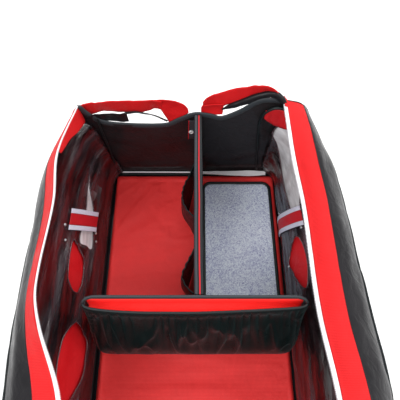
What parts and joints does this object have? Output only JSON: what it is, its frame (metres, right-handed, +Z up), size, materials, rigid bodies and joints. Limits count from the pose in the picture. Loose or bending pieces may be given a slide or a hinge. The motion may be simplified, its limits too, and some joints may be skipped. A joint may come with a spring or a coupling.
{
  "type": "hockey equipment bag",
  "caption": "Wide soft-sided carry bag with its centre zip open, padded floor, removable dividers, pouch, felt mat and webbing handles.",
  "frame": {"origin": "on the floor, under the middle of the bag", "axes": "+Z up; +Y along the bag towards the end with the two compartments; +X towards the mat's side"},
  "size_m": [0.6846, 0.9522, 0.3452],
  "materials": {
    "coated_black": "glossy coated tarpaulin",
    "band_red": "ribbed nylon",
    "zip_white": "coil zip and pale piping",
    "lining_red": "woven nylon lining",
    "floor_red": "padded woven nylon",
    "film_smoke": "smoky film",
    "film_clear": "frosted film",
    "strap_striped": "white and red striped webbing",
    "binding_grey": "ribbed binding tape",
    "padded_grey": "padded nylon",
    "mesh_smoke": "fine mesh",
    "satin_black": "gathered satin",
    "felt_heather": "heather felt",
    "webbing_black": "polyester webbing",
    "plastic_black": "moulded plastic",
    "metal": "plated metal"
  },
  "bodies": {
    "bag_body": {"base_board": "plastic_black", "base_runners": "plastic_black", "bottom_panel": "coated_black", "end_loop_left_far": "band_red", "end_loop_left_near": "band_red", "end_loop_right_far": "band_red", "end_loop_right_near": "band_red", "end_panel_far": "coated_black", "end_panel_near": "coated_black", "end_piping": "zip_white", "film_pocket_left": "film_smoke", "film_pocket_right": "film_smoke", "floor_pad": "floor_red", "rim_binding_far": "binding_grey", "rim_binding_near": "binding_grey", "shoulder_panel_left": "coated_black", "shoulder_panel_right": "coated_black", "side_panel_left": "coated_black", "side_panel_right": "coated_black", "strap_patches": "webbing_black", "striped_strap_left": "strap_striped", "striped_strap_right": "strap_striped", "vent_window_left": "film_clear", "vent_window_right": "film_clear", "wall_lining_left": "lining_red", "wall_lining_right": "lining_red", "wall_rivets": "metal", "webbing_legs_left": "webbing_black", "webbing_legs_right": "webbing_black", "zip_band_left": "band_red", "zip_band_right": "band_red", "zip_chain_left": "zip_white", "zip_chain_right": "zip_white", "zip_ends": "zip_white"},
    "centre_divider": {"divider_panel": "padded_grey", "divider_binding": "binding_grey", "divider_stripe": "band_red", "divider_mesh_pockets": "mesh_smoke", "divider_tab": "webbing_black", "divider_snap": "metal"},
    "cross_divider": {"cross_panel": "padded_grey", "cross_lining": "lining_red", "cross_pouch": "satin_black", "cross_rim": "binding_grey", "cross_tabs": "webbing_black"},
    "skate_mat": {"mat_felt": "felt_heather", "mat_binding": "binding_grey"},
    "carry_handle_left": {"handle_strap_left": "webbing_black", "handle_wrap_left": "padded_grey"},
    "carry_handle_right": {"handle_strap_right": "webbing_black", "handle_wrap_right": "padded_grey"},
    "grab_handle_far": {"grab_strap_far": "webbing_black", "grab_grip_far": "padded_grey"},
    "grab_handle_near": {"grab_strap_near": "webbing_black", "grab_grip_near": "padded_grey"},
    "zip_slider_far": {"zip_slider_far": "metal"},
    "zip_slider_near": {"zip_slider_near": "metal"},
    "zip_pull_far": {"zip_pull_far": "metal"},
    "zip_pull_near": {"zip_pull_near": "metal"}
  },
  "joints": [
    {"name": "centre_divider_lift", "type": "slide", "parent": "bag_body", "child": "centre_divider", "axis": [0, 0, 1], "range_m": [0, 0.3]},
    {"name": "cross_divider_lift", "type": "slide", "parent": "bag_body", "child": "cross_divider", "axis": [0, 0, 1], "range_m": [0, 0.3]},
    {"name": "skate_mat_lift", "type": "hinge", "parent": "bag_body", "child": "skate_mat", "pos_m": [0.109, 0.417, 0.029], "axis": [-1, 0, 0], "range_deg": [0, 45]},
    {"name": "carry_handle_left_swing", "type": "hinge", "parent": "bag_body", "child": "carry_handle_left", "pos_m": [-0.3353, 0, 0.172], "axis": [0, 1, 0], "range_deg": [0, 175]},
    {"name": "carry_handle_right_swing", "type": "hinge", "parent": "bag_body", "child": "carry_handle_right", "pos_m": [0.3353, 0, 0.172], "axis": [0, -1, 0], "range_deg": [0, 175]},
    {"name": "grab_handle_far_swing", "type": "hinge", "parent": "bag_body", "child": "grab_handle_far", "pos_m": [0, 0.4603, 0.186], "axis": [1, 0, 0], "range_deg": [0, 150]},
    {"name": "grab_handle_near_swing", "type": "hinge", "parent": "bag_body", "child": "grab_handle_near", "pos_m": [0, -0.4603, 0.186], "axis": [-1, 0, 0], "range_deg": [0, 150]},
    {"name": "zip_slider_far_travel", "type": "slide", "parent": "bag_body", "child": "zip_slider_far", "axis": [0, 0, 1], "range_m": [0, 0.052]},
    {"name": "zip_slider_near_travel", "type": "slide", "parent": "bag_body", "child": "zip_slider_near", "axis": [0, 0, 1], "range_m": [0, 0.052]},
    {"name": "zip_pull_far_swing", "type": "hinge", "parent": "zip_slider_far", "child": "zip_pull_far", "pos_m": [0, 0.4627, 0.208], "axis": [1, 0, 0], "range_deg": [0, 170]},
    {"name": "zip_pull_near_swing", "type": "hinge", "parent": "zip_slider_near", "child": "zip_pull_near", "pos_m": [0, -0.4627, 0.208], "axis": [-1, 0, 0], "range_deg": [0, 170]}
  ]
}
